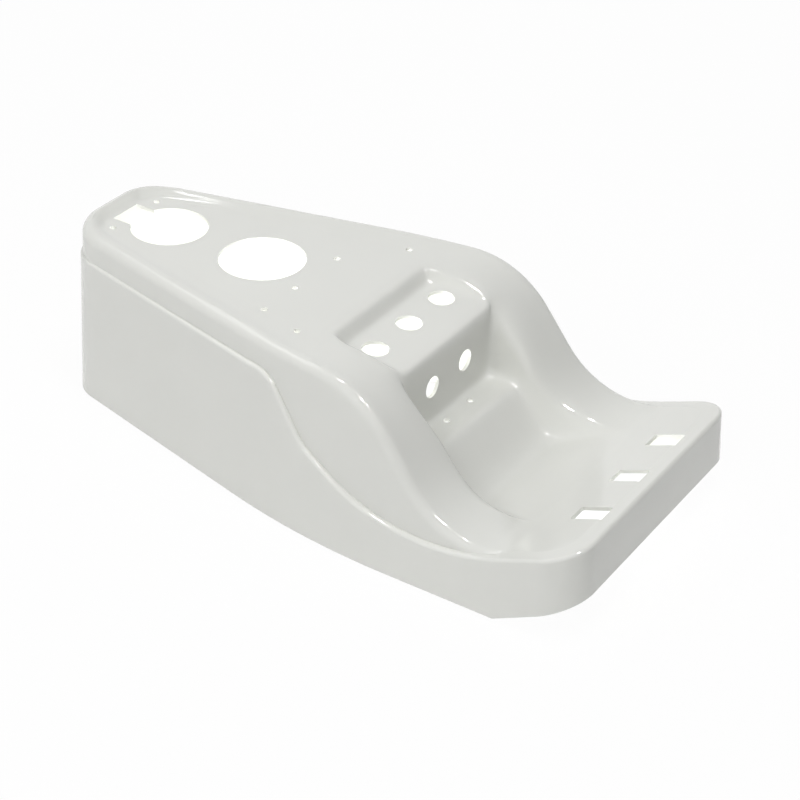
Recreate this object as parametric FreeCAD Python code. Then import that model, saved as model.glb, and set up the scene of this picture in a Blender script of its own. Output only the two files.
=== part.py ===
import FreeCAD
import Part
import math
import os

# Housing of a dental water unit: one moulded cover with a 3 mm wall, open below.
# It is narrow and tall at the rear, where cups and bowls seat in the top panel.
# It is wide and low at the front, where a sloping deck ends in a rounded nose.
# +X runs from the rear to the front, +Z is up, and the bottom rim lies on z = 0.
# The origin is the middle of the bottom. The two sides mirror each other in y.

# Main sizes in millimetres
rear_x = -276.0
nose_x = 280.2
panel_height = 152.6
wall = 3.0
below = 60.0
beyond = 70.0

# Plan of the skirt at the bottom rim, as half widths
rear_half_width = 63.0
shoulder_x = 27.1
shoulder_half_width = 138.6
nose_half_width = 139.4
rear_corner_radius = 38.0
rear_corner_growth = 0.05
shoulder_radius = 685.0
nose_corner_radius = 32.0
skirt_draft = 2.8
rear_draft = 0.1

# Ledge round the skirt in side view: tall behind, then an S down to the deck
ledge_rear_height = 134.0
ledge_height = 132.4
ledge_drop_x = -15.0
ledge_drop_radius = 30.0
ledge_knee_x = 23.5
ledge_knee_height = 82.4
ledge_knee_radius = 40.0
ledge_low_x = 125.4
ledge_low_height = 22.9
ledge_low_radius = 188.0
ledge_roll = 3.0
core_inset = 30.0

# Upper body, which stands inside the ledge and leans in
ledge_width = 5.4
rear_ledge_width = 0.4
rear_spread = 3.0
body_draft = 2.6
body_roll = 9.0

# Raised rim round the sunk top panel
rim_rear_height = 4.4
rim_sweep_x = -249.0
rim_sweep_radius = 60.0
rim_sweep_angle = 10.0
rim_front_height = 2.4
rim_width = 10.0
rim_slope = 10.0
panel_rear_x = -259.0
panel_corner_radius = 20.0

# Deck, which runs up to the nose in one plane
deck_x = 249.8
deck_height = 70.6
deck_angle = 21.0

# Ridges beside the channel, in side view
ridge_drop_x = 75.3
ridge_drop_radius = 90.0
ridge_low_x = 161.5
ridge_low_radius = 78.0

# Channel floor in side view
recess_x = 11.7
recess_foot_x = 18.3
shelf_height = 140.9
shelf_fall = 3.2
riser_x = 79.8
riser_draft = 0.9
step_height = 73.2
step_fall = 0.7
step_front_x = 110.0
basin_x = 145.3
foot_round = 15.0
lip_rise = 3.0

# Channel in plan: half widths at the foot of its side walls, and how far out their lips lie
shelf_half_width = 64.0
shelf_lip = 8.0
step_half_width = 62.0
basin_half_width = 58.0
basin_lip = 16.0
deck_half_width = 84.0
deck_lip = 8.0

# Bottom edge of the skirt below the nose
trim_x = 210.0
trim_angle = 26.0

# Round holes in the top panel
bowl_hole_x = -107.3
bowl_hole_radius = 37.6
cup_hole_x = -206.5
cup_hole_radius = 34.0
notch_rear_x = -255.5
notch_half_width = 16.3
screw_radius = 2.9
panel_screws = [
    (-244.6, -29.9),
    (-244.6, 29.9),
    (-55.7, -67.9),
    (-55.7, -24.9),
    (-55.7, 36.2),
    (-14.1, -81.0),
    (-14.1, 84.6),
]

# Holes of the shelf, the riser and the step
shelf_hole_x = 40.6
shelf_hole_pitch = 49.6
shelf_hole_radius = 11.25
riser_hole_height = 105.0
riser_hole_spread = 25.3
riser_hole_radius = 9.5
step_screw_x = 90.9
step_screw_spread = 18.6

# Rectangular cut-outs in the deck
slot_pitch = 61.8
slot_length = 28.0
slot_width = 18.8
slot_corner = 1.0


def corner_of(before, corner, after):
    """Directions back, ahead and inward at a corner, and half the angle between its sides."""
    back = (before - corner).normalize()
    ahead = (after - corner).normalize()
    return back, ahead, (back + ahead).normalize(), back.getAngle(ahead) / 2


def arc_path(points, radii):
    """Edges through points in order, with an arc of the given radius at each inner point."""
    edges = []
    start = points[0]
    for corner, after, radius in zip(points[1:-1], points[2:], radii):
        back, ahead, middle, half = corner_of(start, corner, after)
        reach = radius / math.tan(half)
        first = corner + back * reach
        last = corner + ahead * reach
        crest = corner + middle * (radius / math.sin(half) - radius)
        edges.append(Part.LineSegment(start, first).toShape())
        edges.append(Part.Arc(first, crest, last).toShape())
        start = last
    edges.append(Part.LineSegment(start, points[-1]).toShape())
    return edges


def at(x, z):
    return FreeCAD.Vector(x, 0, z)


def deck_at(x):
    return deck_height + (x - deck_x) * math.tan(math.radians(deck_angle))


def lean_at(height, draft):
    """How far a wall with this draft has moved in at a height."""
    return height * math.tan(math.radians(draft))


def plan_outline(height, draft, ledge, rear_ledge, spread, inset):
    """Closed outline at a height of a body that leans in and stands inside the skirt's rim."""
    side = ledge + lean_at(height, draft)
    tail = rear_x + rear_ledge + lean_at(height, rear_draft)
    nose = nose_x - side
    half = [
        (tail, rear_half_width + spread - side),
        (shoulder_x, shoulder_half_width - side),
        (nose, nose_half_width - side),
    ]
    corners = [FreeCAD.Vector(x, -y, height) for x, y in half]
    corners += [FreeCAD.Vector(x, y, height) for x, y in half[::-1]]
    rounds = [rear_corner_radius + height * rear_corner_growth, shoulder_radius, nose_corner_radius]
    rounds = [radius - inset for radius in rounds + rounds[::-1]]
    points = []
    for before, corner, after in zip(corners[-1:] + corners, corners, corners[1:] + corners[:1]):
        back, ahead, middle, angle = corner_of(before, corner, after)
        points.append(corner + middle * (inset / math.sin(angle)))
    start = FreeCAD.Vector(tail + inset, 0, height)
    return Part.Wire(arc_path([start] + points + [start], rounds))


def drafted_body(draft, ledge, rear_ledge, spread, inset):
    """Solid inside the outline from well below to well above the cover."""
    low = plan_outline(-below, draft, ledge, rear_ledge, spread, inset)
    high = plan_outline(panel_height + below, draft, ledge, rear_ledge, spread, inset)
    return Part.makeLoft([low, high], True, True)


def skirt_body(inset):
    return drafted_body(skirt_draft, 0, 0, 0, inset)


def upper_body(inset):
    return drafted_body(body_draft, ledge_width, rear_ledge_width, rear_spread, inset)


def under_profile(edges, inset):
    """Solid below a side profile, moved in by inset."""
    first = edges[0].Vertexes[0].Point
    last = edges[-1].Vertexes[-1].Point
    low_last = at(last.x, -2 * below)
    low_first = at(first.x, -2 * below)
    closing = [
        Part.LineSegment(last, low_last).toShape(),
        Part.LineSegment(low_last, low_first).toShape(),
        Part.LineSegment(low_first, first).toShape(),
    ]
    outline = Part.Wire(edges + closing)
    if inset:
        outline = outline.makeOffset2D(-inset)
    reach = 2 * shoulder_half_width
    face = Part.Face(outline)
    face.translate(FreeCAD.Vector(0, -reach, 0))
    return face.extrude(FreeCAD.Vector(0, 2 * reach, 0))


def ledge_path():
    points = [
        at(rear_x - beyond, ledge_rear_height),
        at(ledge_drop_x, ledge_height),
        at(ledge_knee_x, ledge_knee_height),
        at(ledge_low_x, ledge_low_height),
        at(nose_x + beyond, deck_at(nose_x + beyond)),
    ]
    return arc_path(points, [ledge_drop_radius, ledge_knee_radius, ledge_low_radius])


def deck_end():
    """Where both the ridges and the panel's side profile come down to the deck."""
    return [at(ridge_low_x, deck_at(ridge_low_x)), at(nose_x + beyond, deck_at(nose_x + beyond))]


def ridge_path():
    """Side profile of the rim and the ridges, swept up behind."""
    swept = rim_sweep_x - rear_x + beyond
    points = [
        at(rear_x - beyond, panel_height + rim_rear_height + lean_at(swept, rim_sweep_angle)),
        at(rim_sweep_x, panel_height + rim_rear_height),
        at(ridge_drop_x, panel_height + rim_front_height),
    ]
    return arc_path(points + deck_end(), [rim_sweep_radius, ridge_drop_radius, ridge_low_radius])


def panel_path():
    """Side profile of the top panel, carried on down the inner side of the ridges."""
    points = [at(rear_x - beyond, panel_height), at(ridge_drop_x, panel_height)]
    return arc_path(points + deck_end(), [ridge_drop_radius, ridge_low_radius])


def height_at(path, x):
    """Height of a side profile at x."""
    upright = Part.LineSegment(at(x, -below), at(x, panel_height + 2 * below)).toShape()
    for edge in path:
        gap, pairs, details = edge.distToShape(upright)
        if gap < 0.0001:
            return pairs[0][0].z
    return panel_height


def shelf_at(x):
    return shelf_height - (x - recess_foot_x) * math.tan(math.radians(shelf_fall))


def step_at(x):
    return step_height - (x - riser_x) * math.tan(math.radians(step_fall))


def crest_half_width(x, height):
    """Half width of the upper body at x and a height, on its straight sides."""
    spread = rear_spread * (shoulder_x - x) / (shoulder_x - rear_x)
    slope = (shoulder_half_width - rear_half_width) / (shoulder_x - rear_x)
    skirt_side = min(rear_half_width + (x - rear_x) * slope, shoulder_half_width)
    return skirt_side + max(spread, 0) - ledge_width - lean_at(height, body_draft)


def panel_edge_at(x, crest):
    """Half width at the foot of the rim's inner slope, rounded at the panel's rear corners."""
    edge = crest_half_width(x, crest) - rim_width - rim_slope
    short = min(max(panel_rear_x + panel_corner_radius - x, 0), 0.9 * panel_corner_radius)
    return edge - panel_corner_radius + math.sqrt(panel_corner_radius**2 - short**2)


def panel_rows(crest_path):
    """Control rows from the rear rim to the front of the top panel, laid out as channel_rows."""
    behind = [rear_x - beyond, rear_x - 14, rear_x + 6, panel_rear_x - 7]
    ahead = [panel_rear_x + step for step in (1, 8, 18, 54, 129, 199)] + [recess_x - 28, recess_x - 9]
    rows = [(x, height_at(crest_path, x) + 0.02 * (panel_rear_x - x)) for x in behind]
    rows.append((panel_rear_x - 3, (rows[-1][1] + panel_height) / 2))
    rows += [(x, panel_height) for x in ahead]
    laid = []
    for x, z in rows:
        edge = panel_edge_at(max(x, panel_rear_x), panel_height)
        foot = min(0.7 * edge, shelf_half_width)
        laid.append((x, z, foot, x, min(0.85 * edge, foot + shelf_lip)))
    return laid


def channel_rows():
    """Control rows of the channel, rear to front.

    Each is the floor's x and height, the half width at the foot of the side wall,
    the ridge's x, and the half width at the lip of the side wall.
    """
    shelf = shelf_half_width
    step = step_half_width
    basin = basin_half_width
    deck = deck_half_width
    shelf_edge = shelf_at(riser_x)
    riser_foot = riser_x + lean_at(shelf_edge - step_height, riser_draft)
    slope = (step_at(step_front_x) - deck_at(basin_x)) / (basin_x - step_front_x)
    drop = ridge_low_x - ridge_drop_x
    rows = [
        (recess_x, panel_height, shelf, recess_x, 5),
        ((recess_x + recess_foot_x) / 2, (panel_height + shelf_height) / 2, shelf, recess_foot_x, 6),
        (recess_foot_x, shelf_height, shelf, recess_foot_x + 8, 7),
        (recess_foot_x + 7, shelf_at(recess_foot_x + 7), shelf, recess_foot_x + 16, shelf_lip),
        (riser_x - 32, shelf_at(riser_x - 32), shelf + 1, riser_x - 30, shelf_lip),
        (riser_x - 8, shelf_at(riser_x - 8), shelf + 2, riser_x - 20, shelf_lip),
        (riser_x, shelf_edge, shelf + 2, riser_x - 11, shelf_lip),
        (riser_x + 0.2, shelf_edge - 9, shelf, ridge_drop_x + 0.02 * drop, shelf_lip + 1),
        (riser_foot - 0.2, step_height + 12, step - 1, ridge_drop_x + 0.13 * drop, shelf_lip + 2),
        (riser_foot, step_height, step, ridge_drop_x + 0.24 * drop, shelf_lip),
        (riser_foot + 10, step_at(riser_foot + 10), step + 2, ridge_drop_x + 0.33 * drop, 5),
        (step_front_x - 8, step_at(step_front_x - 8), step + 2, ridge_drop_x + 0.42 * drop, 5),
        (step_front_x, step_at(step_front_x), step, ridge_drop_x + 0.51 * drop, 7),
        (step_front_x + 8, step_at(step_front_x) - 8 * slope, step - 2, ridge_drop_x + 0.6 * drop, 10),
        (basin_x - 20, deck_at(basin_x) + 20 * slope, basin, ridge_drop_x + 0.71 * drop, 14),
        (basin_x, deck_at(basin_x), basin, ridge_drop_x + 0.87 * drop, basin_lip),
        (basin_x + 32, deck_at(basin_x + 32), (basin + deck) / 2 - 3, ridge_low_x + 13, 11),
        (deck_x - 38, deck_at(deck_x - 38), deck - 4, deck_x - 41, deck_lip),
        (deck_x - 8, deck_at(deck_x - 8) + 0.6, deck, deck_x - 10, deck_lip),
        (nose_x + beyond, deck_at(nose_x + beyond) + 3, deck, nose_x + beyond, deck_lip),
    ]
    return [(x, z, foot, ridge, foot + out) for x, z, foot, ridge, out in rows]


def control_net():
    """Control points of the top surface, one list for each row, from the -y side to the +y side."""
    crest_path = ridge_path()
    level_path = panel_path()
    rise = math.tan(math.radians(lip_rise))
    net = []
    for floor_x, floor_z, foot, ridge_x, lip in panel_rows(crest_path) + channel_rows():
        crest = max(height_at(crest_path, ridge_x), floor_z)
        ridge = max(height_at(level_path, ridge_x), floor_z)
        edge = panel_edge_at(max(ridge_x, panel_rear_x), crest)
        side = edge + rim_slope + rim_width
        half = [
            FreeCAD.Vector(floor_x, 0, floor_z),
            FreeCAD.Vector(floor_x, max(foot - foot_round, foot / 2), floor_z),
            FreeCAD.Vector(floor_x, foot, floor_z),
            FreeCAD.Vector((floor_x + ridge_x) / 2, (foot + lip) / 2, (floor_z + ridge) / 2),
            FreeCAD.Vector(ridge_x, lip, ridge),
            FreeCAD.Vector(ridge_x, edge, ridge),
            FreeCAD.Vector(ridge_x, edge + rim_slope, crest),
        ]
        for y in (side + 2, side + 22, shoulder_half_width + beyond):
            half.append(FreeCAD.Vector(ridge_x, y, crest + (y - side + 6) * rise))
        other = [FreeCAD.Vector(p.x, -p.y, p.z) for p in half[:0:-1]]
        net.append(other + half)
    return net


def direction(before, here, after):
    """Mean direction of a control line at a point, and how much its offset grows at that turn."""
    coming = (here - before).normalize()
    going = (after - here).normalize()
    return (coming + going).normalize(), 1 / math.cos(coming.getAngle(going) / 2)


def sunk_net(net, depth):
    """The control net moved down into the part by depth, square to the surface."""
    last_row = len(net) - 1
    last_column = len(net[0]) - 1
    sunk = []
    for i, row in enumerate(net):
        line = []
        for j, point in enumerate(row):
            before = net[i - 1][j] if i else point - FreeCAD.Vector(1, 0, 0)
            after = net[i + 1][j] if i < last_row else point * 2 - net[i - 1][j]
            right = row[j - 1] if j else point - FreeCAD.Vector(0, 1, 0)
            left = row[j + 1] if j < last_column else point + FreeCAD.Vector(0, 1, 0)
            ahead, growth = direction(before, point, after)
            aside, side_growth = direction(right, point, left)
            normal = ahead.cross(aside).normalize()
            line.append(point - normal * (depth * growth * side_growth))
        sunk.append(line)
    return sunk


def under_top(inset):
    """Solid below the top surface, sunk by inset."""
    net = control_net()
    if inset:
        net = sunk_net(net, inset)
    rows = len(net)
    columns = len(net[0])
    degree = 3
    row_knots = list(range(rows - degree + 1))
    column_knots = list(range(columns - degree + 1))
    row_repeats = [degree + 1] + [1] * (rows - degree - 1) + [degree + 1]
    column_repeats = [degree + 1] + [1] * (columns - degree - 1) + [degree + 1]
    surface = Part.BSplineSurface()
    surface.buildFromPolesMultsKnots(
        net, row_repeats, column_repeats, row_knots, column_knots, False, False, degree, degree
    )
    return surface.toShape().extrude(FreeCAD.Vector(0, 0, -panel_height - 5 * below))


def top_outside(solid):
    """Edges round the top of a drafted body, that its rim roll follows."""
    found = []
    for edge in solid.Edges:
        box = edge.BoundBox
        steep = box.ZLength > 0.5 * below and box.XLength + box.YLength < 0.3 * box.ZLength
        if box.ZMin > 1 and not steep:
            found.append(edge)
    return found


def form(inset):
    """The whole body, smaller by inset all round, without holes."""
    skirt = skirt_body(inset).common(under_profile(ledge_path(), inset + 0.4))
    if not inset:
        skirt = skirt.makeFillet(ledge_roll, top_outside(skirt))
    upper = upper_body(inset).common(under_profile(ridge_path(), inset))
    upper = upper.makeFillet(body_roll - inset, top_outside(upper))
    upper = upper.common(under_top(inset))
    core = drafted_body(0, 0, 0, 0, inset + core_inset)
    whole = skirt.cut(core).fuse(upper)
    return whole


def trimmed(solid):
    """The cover without what lies below its bottom edge."""
    reach = 4 * shoulder_half_width
    floor = Part.makeBox(2 * reach, reach, below * 3, FreeCAD.Vector(-reach, -reach / 2, -below * 3))
    wedge = Part.makeBox(reach, reach, below * 3, FreeCAD.Vector(trim_x, -reach / 2, -below * 3))
    wedge.rotate(at(trim_x, 0), FreeCAD.Vector(0, -1, 0), trim_angle)
    return solid.cut(floor.fuse(wedge))


def bore(centre, direction, radius):
    depth = 30.0
    start = centre - direction * (depth / 2)
    return Part.makeCylinder(radius, depth, start, direction)


def openings():
    """Everything that is cut out of the finished shell."""
    up = FreeCAD.Vector(0, 0, 1)
    forward = FreeCAD.Vector(1, 0, 0)
    shelf_normal = FreeCAD.Vector(math.tan(math.radians(shelf_fall)), 0, 1).normalize()
    cuts = [
        bore(at(bowl_hole_x, panel_height), up, bowl_hole_radius),
        bore(at(cup_hole_x, panel_height), up, cup_hole_radius),
    ]
    notch = Part.makeBox(
        cup_hole_x - notch_rear_x,
        2 * notch_half_width,
        30,
        FreeCAD.Vector(notch_rear_x, -notch_half_width, panel_height - 15),
    )
    cuts.append(notch)
    for x, y in panel_screws:
        cuts.append(bore(FreeCAD.Vector(x, y, panel_height), up, screw_radius))
    for y in (-shelf_hole_pitch, 0, shelf_hole_pitch):
        centre = FreeCAD.Vector(shelf_hole_x, y, shelf_at(shelf_hole_x))
        cuts.append(bore(centre, shelf_normal, shelf_hole_radius))
    for side in (-1, 1):
        riser = FreeCAD.Vector(riser_x, side * riser_hole_spread, riser_hole_height)
        cuts.append(bore(riser, forward, riser_hole_radius))
        step = FreeCAD.Vector(step_screw_x, side * step_screw_spread, step_height)
        cuts.append(bore(step, up, screw_radius))
    for y in (-slot_pitch, 0, slot_pitch):
        cuts.append(deck_slot(y))
    return cuts


def deck_slot(y):
    """Cutter of one rectangular cut-out, square to the deck."""
    corner = FreeCAD.Vector(deck_x - slot_length / 2, y - slot_width / 2, deck_height - 15)
    block = Part.makeBox(slot_length, slot_width, 30, corner)
    upright = [edge for edge in block.Edges if edge.BoundBox.ZLength > 29]
    block = block.makeFillet(slot_corner, upright)
    block.rotate(at(deck_x, deck_height), FreeCAD.Vector(0, -1, 0), deck_angle)
    return block


os.makedirs("parts", exist_ok=True)
outer = form(0)
inner = form(wall)
shell = outer.cut(inner)
shell = trimmed(shell)
for cut in openings():
    shell = shell.cut(cut)
housing = shell.Solids[0]
housing.exportStep("parts/housing.step")
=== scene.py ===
import math

import bmesh
import bpy
from mathutils import Matrix, Vector


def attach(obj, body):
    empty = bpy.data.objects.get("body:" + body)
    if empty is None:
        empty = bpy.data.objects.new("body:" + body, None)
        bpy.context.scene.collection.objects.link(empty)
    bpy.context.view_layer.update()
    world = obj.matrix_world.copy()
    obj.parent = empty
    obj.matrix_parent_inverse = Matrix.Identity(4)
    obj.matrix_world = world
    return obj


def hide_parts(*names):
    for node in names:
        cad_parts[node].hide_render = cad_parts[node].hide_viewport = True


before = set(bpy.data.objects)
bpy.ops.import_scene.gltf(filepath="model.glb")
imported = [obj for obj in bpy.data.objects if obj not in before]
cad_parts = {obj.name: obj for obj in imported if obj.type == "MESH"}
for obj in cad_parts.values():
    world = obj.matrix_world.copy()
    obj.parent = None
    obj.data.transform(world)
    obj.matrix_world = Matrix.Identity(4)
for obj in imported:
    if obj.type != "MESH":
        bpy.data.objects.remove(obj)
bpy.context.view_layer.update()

# The cover: glossy warm white plastic, 3 mm thick, moulded in one piece and open below.
# Screws go through its top panel and its step. The shape is the CAD solid's, in a merged
# copy, so that soft bends shade as one skin and the cut edges of the holes stay crisp.

SMOOTH_BELOW = math.radians(32)
MERGE_WITHIN = 0.00001

scene = bpy.context.scene
cover_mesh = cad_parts["housing"].data.copy()
cover_bm = bmesh.new()
cover_bm.from_mesh(cover_mesh)
bmesh.ops.remove_doubles(cover_bm, verts=cover_bm.verts, dist=MERGE_WITHIN)
for face in cover_bm.faces:
    face.smooth = True
for edge in cover_bm.edges:
    sharp = len(edge.link_faces) == 2 and edge.calc_face_angle() > SMOOTH_BELOW
    edge.smooth = not sharp
cover_bm.to_mesh(cover_mesh)
cover_bm.free()
cover = bpy.data.objects.new("moulded_cover", cover_mesh)
scene.collection.objects.link(cover)

COVER_WHITE = (0.745, 0.75, 0.715)
TINT_SCALE = 9.0
TINT_DETAIL = 3.0
TINT_DARKEST = 0.975
TINT_STOPS = (0.3, 0.7)
COVER_ROUGHNESS = 0.09
GLOSS_SPREAD = (-0.04, 0.06)
HAZE_SCALE = 30.0
HAZE_DETAIL = 4.0
PEEL_SCALE = 260.0
PEEL_DETAIL = 2.0
PEEL_STRENGTH = 0.03
PEEL_DEPTH = 0.001


def gloss_plastic(name, colour, roughness):
    """Moulded gloss plastic: a faint orange peel, and a gloss that varies a little."""
    material = bpy.data.materials.new(name)
    material.use_nodes = True
    nodes = material.node_tree.nodes
    links = material.node_tree.links
    shader = nodes["Principled BSDF"]
    place = nodes.new("ShaderNodeTexCoord")

    def noise(scale, detail):
        texture = nodes.new("ShaderNodeTexNoise")
        texture.inputs["Scale"].default_value = scale
        texture.inputs["Detail"].default_value = detail
        links.new(place.outputs["Object"], texture.inputs["Vector"])
        return texture.outputs["Fac"]

    tint = nodes.new("ShaderNodeValToRGB")
    darkest, lightest = tint.color_ramp.elements
    darkest.position, lightest.position = TINT_STOPS
    darkest.color = [part * TINT_DARKEST for part in colour] + [1]
    lightest.color = list(colour) + [1]
    links.new(noise(TINT_SCALE, TINT_DETAIL), tint.inputs["Fac"])
    links.new(tint.outputs["Color"], shader.inputs["Base Color"])

    gloss = nodes.new("ShaderNodeMapRange")
    gloss.inputs["To Min"].default_value = roughness + GLOSS_SPREAD[0]
    gloss.inputs["To Max"].default_value = roughness + GLOSS_SPREAD[1]
    links.new(noise(HAZE_SCALE, HAZE_DETAIL), gloss.inputs["Value"])
    links.new(gloss.outputs["Result"], shader.inputs["Roughness"])

    peel = nodes.new("ShaderNodeBump")
    peel.inputs["Strength"].default_value = PEEL_STRENGTH
    peel.inputs["Distance"].default_value = PEEL_DEPTH
    links.new(noise(PEEL_SCALE, PEEL_DETAIL), peel.inputs["Height"])
    links.new(peel.outputs["Normal"], shader.inputs["Normal"])
    return material


cover_plastic = gloss_plastic("gloss_shell_plastic", COVER_WHITE, COVER_ROUGHNESS)
cover.data.materials.clear()
cover.data.materials.append(cover_plastic)
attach(cover, "root")
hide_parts("housing")

# The floor: a wide, pale and matt sheet that the cover stands on. It is seen as plain
# white, and keeps the cover's faint shadow, so the cover doesn't float.

FLOOR_SIZE = 12.0
FLOOR_GREY = (0.88, 0.88, 0.88, 1)
FLOOR_ROUGHNESS = 0.9
FLOOR_SPECULAR = 0.1
FLOOR_WHITENING = 0.95
PLAIN_WHITE = (1, 1, 1, 1)


def seen_directly(nodes, links):
    """1 for what the camera, a reflection or a glass sees, 0 for the light on things."""
    path = nodes.new("ShaderNodeLightPath")
    either = nodes.new("ShaderNodeMath")
    either.operation = "MAXIMUM"
    links.new(path.outputs["Is Camera Ray"], either.inputs[0])
    links.new(path.outputs["Is Glossy Ray"], either.inputs[1])
    any_of = nodes.new("ShaderNodeMath")
    any_of.operation = "MAXIMUM"
    links.new(either.outputs["Value"], any_of.inputs[0])
    links.new(path.outputs["Is Transmission Ray"], any_of.inputs[1])
    return any_of.outputs["Value"]


floor_mesh = bpy.data.meshes.new("floor")
floor_bm = bmesh.new()
bmesh.ops.create_grid(floor_bm, x_segments=1, y_segments=1, size=FLOOR_SIZE / 2)
floor_bm.to_mesh(floor_mesh)
floor_bm.free()
floor = bpy.data.objects.new("floor", floor_mesh)
scene.collection.objects.link(floor)
floor_material = bpy.data.materials.new("pale_floor")
floor_material.use_nodes = True
floor_nodes = floor_material.node_tree.nodes
floor_links = floor_material.node_tree.links
floor_shader = floor_nodes["Principled BSDF"]
floor_shader.inputs["Base Color"].default_value = FLOOR_GREY
floor_shader.inputs["Roughness"].default_value = FLOOR_ROUGHNESS
floor_shader.inputs["Specular IOR Level"].default_value = FLOOR_SPECULAR
floor_glow = floor_nodes.new("ShaderNodeEmission")
floor_glow.inputs["Color"].default_value = PLAIN_WHITE
floor_glow.inputs["Strength"].default_value = 1.0
floor_share = floor_nodes.new("ShaderNodeMath")
floor_share.operation = "MULTIPLY"
floor_share.inputs[1].default_value = FLOOR_WHITENING
floor_links.new(seen_directly(floor_nodes, floor_links), floor_share.inputs[0])
floor_mix = floor_nodes.new("ShaderNodeMixShader")
floor_links.new(floor_share.outputs["Value"], floor_mix.inputs["Fac"])
floor_links.new(floor_shader.outputs["BSDF"], floor_mix.inputs[1])
floor_links.new(floor_glow.outputs["Emission"], floor_mix.inputs[2])
floor_output = floor_nodes["Material Output"]
floor_links.new(floor_mix.outputs["Shader"], floor_output.inputs["Surface"])
floor.data.materials.append(floor_material)

# The surround: a pale room that lights the cover softly from every side.
# What is seen of it, directly or in the gloss, is plain white.

SURROUND_LIGHT = 0.24

world = bpy.data.worlds.new("pale_surround")
world.use_nodes = True
world_nodes = world.node_tree.nodes
world_links = world.node_tree.links
surround = world_nodes["Background"]
surround.inputs["Color"].default_value = PLAIN_WHITE
surround.inputs["Strength"].default_value = SURROUND_LIGHT
backdrop = world_nodes.new("ShaderNodeBackground")
backdrop.inputs["Color"].default_value = PLAIN_WHITE
backdrop.inputs["Strength"].default_value = 1.0
backdrop_mix = world_nodes.new("ShaderNodeMixShader")
world_links.new(seen_directly(world_nodes, world_links), backdrop_mix.inputs["Fac"])
world_links.new(surround.outputs["Background"], backdrop_mix.inputs[1])
world_links.new(backdrop.outputs["Background"], backdrop_mix.inputs[2])
world_output = world_nodes["World Output"]
world_links.new(backdrop_mix.outputs["Shader"], world_output.inputs["Surface"])
scene.world = world

# The studio lamps: a wide key light high behind the cover draws the light line along its
# ledge and rims. Lights on both sides and overhead give the level and don't show in the
# gloss, and a small box behind leaves its highlight on the far rim.

COVER_MIDDLE = (0, 0, 0.1)
CHANNEL = (0.1, 0, 0.1)
REAR_PANEL = (-0.2, 0, 0.1)


def soft_box(name, place, target, size, power):
    """A rectangular lamp, wide by long in metres, of so many watts, turned to a target."""
    lamp = bpy.data.lights.new(name, "AREA")
    lamp.shape = "RECTANGLE"
    lamp.size, lamp.size_y = size
    lamp.energy = power
    holder = bpy.data.objects.new(name, lamp)
    holder.location = place
    aim = Vector(target) - Vector(place)
    holder.rotation_euler = aim.to_track_quat("-Z", "Y").to_euler()
    scene.collection.objects.link(holder)
    return holder


soft_box("key_light", (-1.7, -0.4, 2.2), COVER_MIDDLE, (1.8, 0.7), 8.5)
for name, place, target, size, power in (
    ("fill_light", (0, -1.9, 1.7), COVER_MIDDLE, (1.6, 1.6), 25),
    ("far_fill_light", (-1.1, 2.0, 0.8), COVER_MIDDLE, (1.6, 1.2), 11),
    ("overhead_light", (0.4, -0.1, 2.1), CHANNEL, (0.3, 0.8), 14),
):
    level_light = soft_box(name, place, target, size, power)
    level_light.visible_glossy = False
soft_box("rim_soft_box", (-0.61, 0.34, 0.80), REAR_PANEL, (0.05, 0.08), 0.13)

# The glint tubes: two narrow lamps overhead that only the gloss shows. They leave short
# bright streaks on the bends of the ridges and the ledge, and light nothing else.

TUBE_WIDTH = 0.10

for name, place, length, power in (
    ("rear_glint_tube", (-0.12, -0.1, 2.1), 0.22, 16),
    ("front_glint_tube", (0.88, -0.1, 2.0), 0.45, 32),
):
    tube = soft_box(name, place, CHANNEL, (TUBE_WIDTH, length), power)
    tube.visible_diffuse = False

# The inside lamps: three small bulbs under the hollow cover, which light its inner walls.
# So its holes look into light, and not into the dark.

BULB_RADIUS = 0.02

for name, place, power in (
    ("rear_inside_lamp", (-0.12, -0.03, 0.05), 0.42),
    ("shelf_inside_lamp", (0.03, -0.03, 0.05), 0.26),
    ("nose_inside_lamp", (0.19, 0.02, 0.022), 0.22),
):
    bulb = bpy.data.lights.new(name, "POINT")
    bulb.energy = power
    bulb.shadow_soft_size = BULB_RADIUS
    bulb_holder = bpy.data.objects.new(name, bulb)
    bulb_holder.location = place
    scene.collection.objects.link(bulb_holder)

# The camera stands to the right of the nose and above it, and looks down along the cover.
# Its place, roll and lens were fitted to the outline of the real cover.

CAMERA_PLACE = Vector((0.8351, -1.2724, 1.0242))
CAMERA_LOOK = Vector((-0.449, 0.713, -0.539))
CAMERA_ROLL = math.radians(1.48)
CAMERA_LENS = 95.85
SENSOR_WIDTH = 36.0

camera_data = bpy.data.cameras.new("camera")
camera_data.lens = CAMERA_LENS
camera_data.sensor_width = SENSOR_WIDTH
camera = bpy.data.objects.new("camera", camera_data)
stand = Matrix.Translation(CAMERA_PLACE)
turn = CAMERA_LOOK.to_track_quat("-Z", "Y").to_matrix().to_4x4()
camera.matrix_world = stand @ turn @ Matrix.Rotation(CAMERA_ROLL, 4, "Z")
scene.collection.objects.link(camera)
scene.camera = camera
scene.view_settings.view_transform = "Standard"
